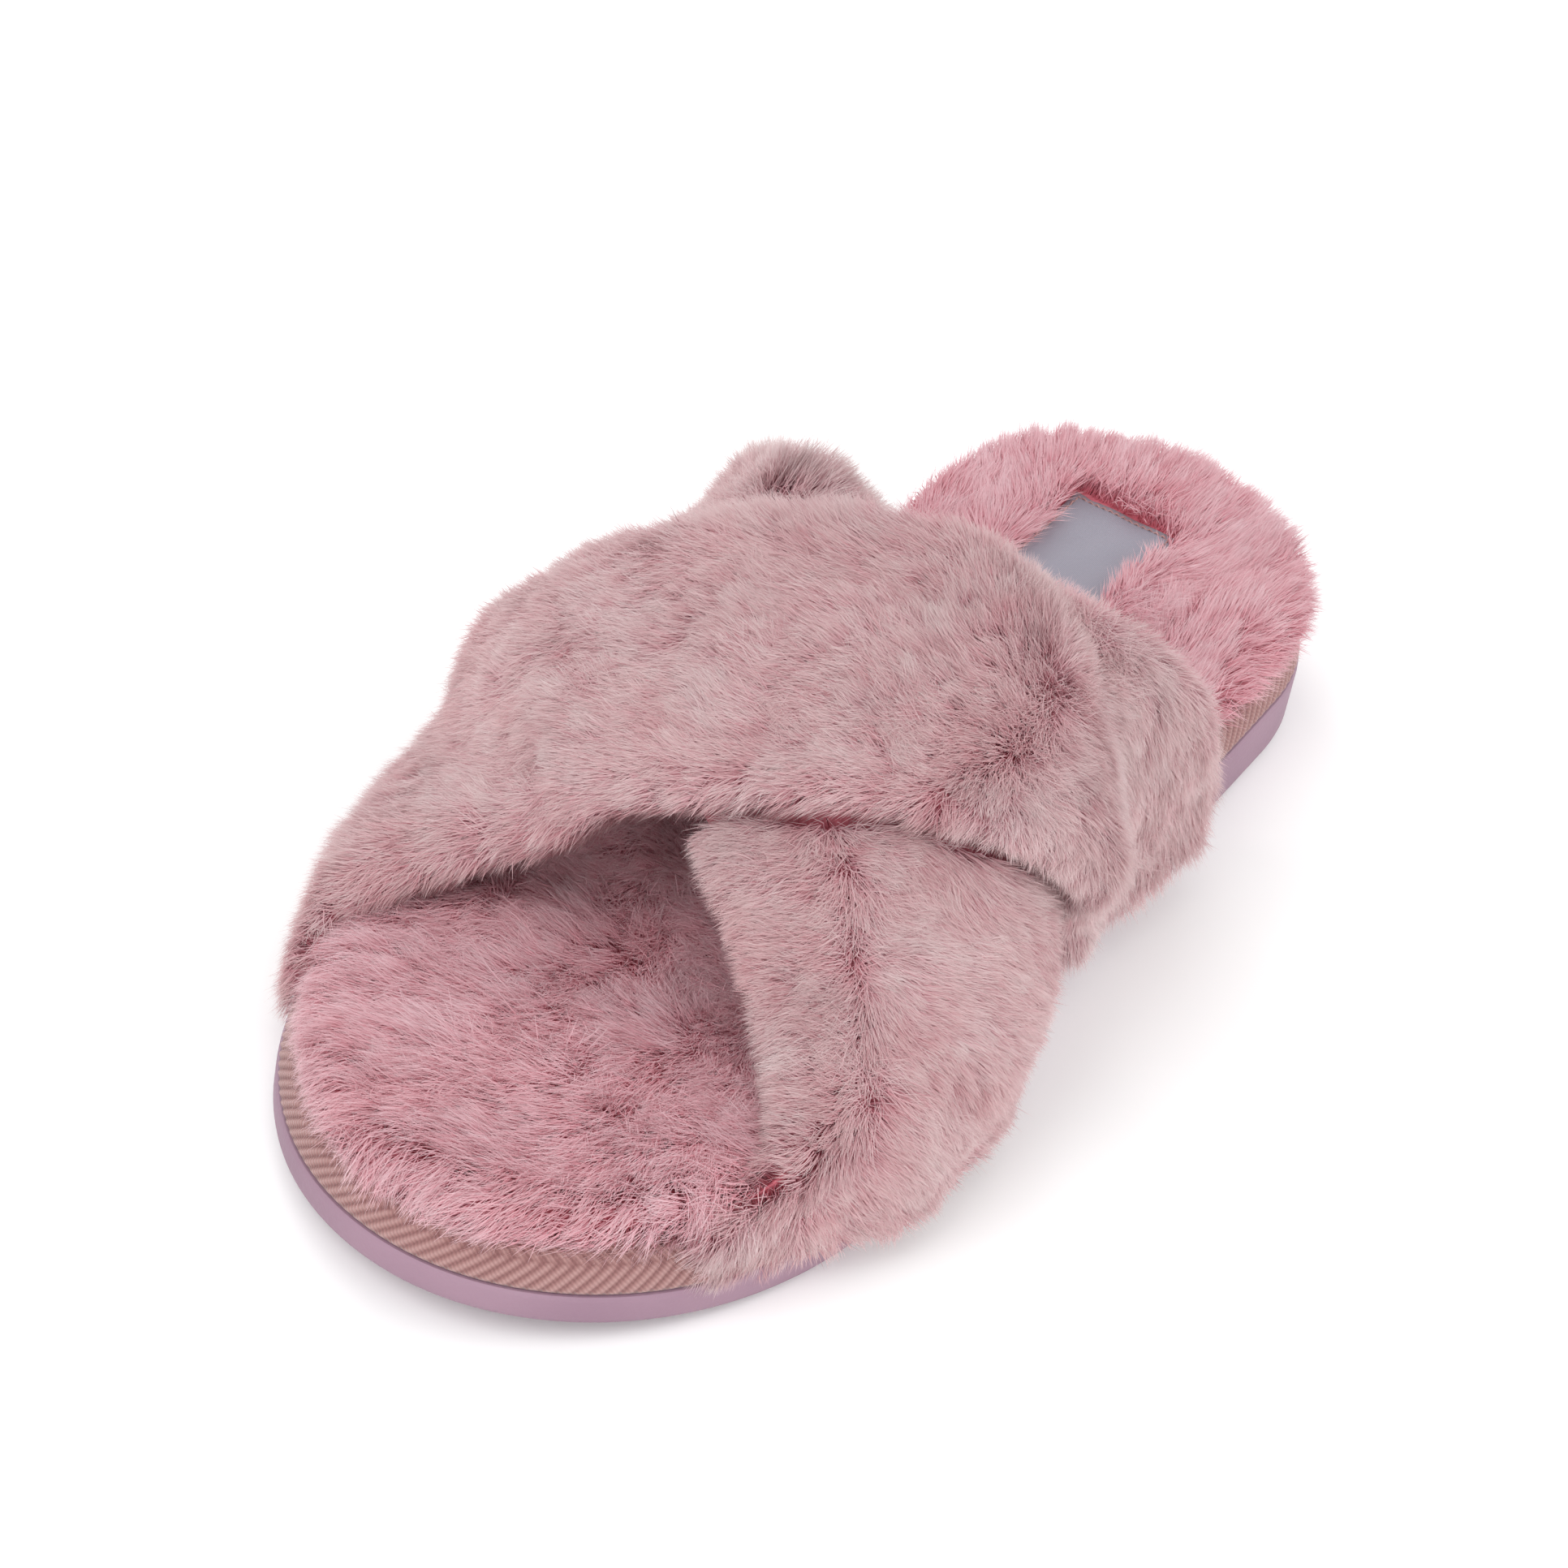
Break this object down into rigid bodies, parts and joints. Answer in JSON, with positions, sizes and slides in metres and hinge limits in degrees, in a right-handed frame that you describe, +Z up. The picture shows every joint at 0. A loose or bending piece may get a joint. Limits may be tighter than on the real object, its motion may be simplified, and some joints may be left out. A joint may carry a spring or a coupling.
{
  "type": "cross-band house slipper",
  "caption": "Open-toe slide slipper with deep pile insole, crossed padded fur bands over the forefoot, woven edge tape and a thin foam sole.",
  "frame": {"origin": "centre of the bounding box at floor level, under the middle of the sole", "axes": "+Y from toe to heel, +Z up, so -Y is the way the foot points"},
  "size_m": [0.116, 0.255, 0.0853],
  "materials": {
    "eva_sole": "moulded EVA foam, fine matt skin",
    "board": "pressed fibre board",
    "foam": "open-cell cushion foam",
    "tape": "herringbone woven tape",
    "thread": "spun polyester thread",
    "pile": "long-pile faux fur",
    "lining": "short brushed plush",
    "label": "woven satin label, blank"
  },
  "bodies": {
    "root": {"outsole": "eva_sole", "insole_board": "board", "footbed_foam": "foam", "edge_binding": "tape", "binding_stitch": "thread", "insole_fur": "pile", "upper_band_fur": "pile", "upper_band_foam": "foam", "upper_band_lining": "lining", "upper_band_stitch_front": "thread", "upper_band_stitch_rear": "thread", "upper_band_seam_left": "thread", "upper_band_seam_right": "thread", "lower_band_fur": "pile", "lower_band_foam": "foam", "lower_band_lining": "lining", "lower_band_stitch_front": "thread", "lower_band_stitch_rear": "thread", "lower_band_seam_left": "thread", "lower_band_seam_right": "thread", "size_label": "label", "label_stitch_front": "thread", "label_stitch_rear": "thread", "label_stitch_left": "thread", "label_stitch_right": "thread"}
  },
  "joints": []
}
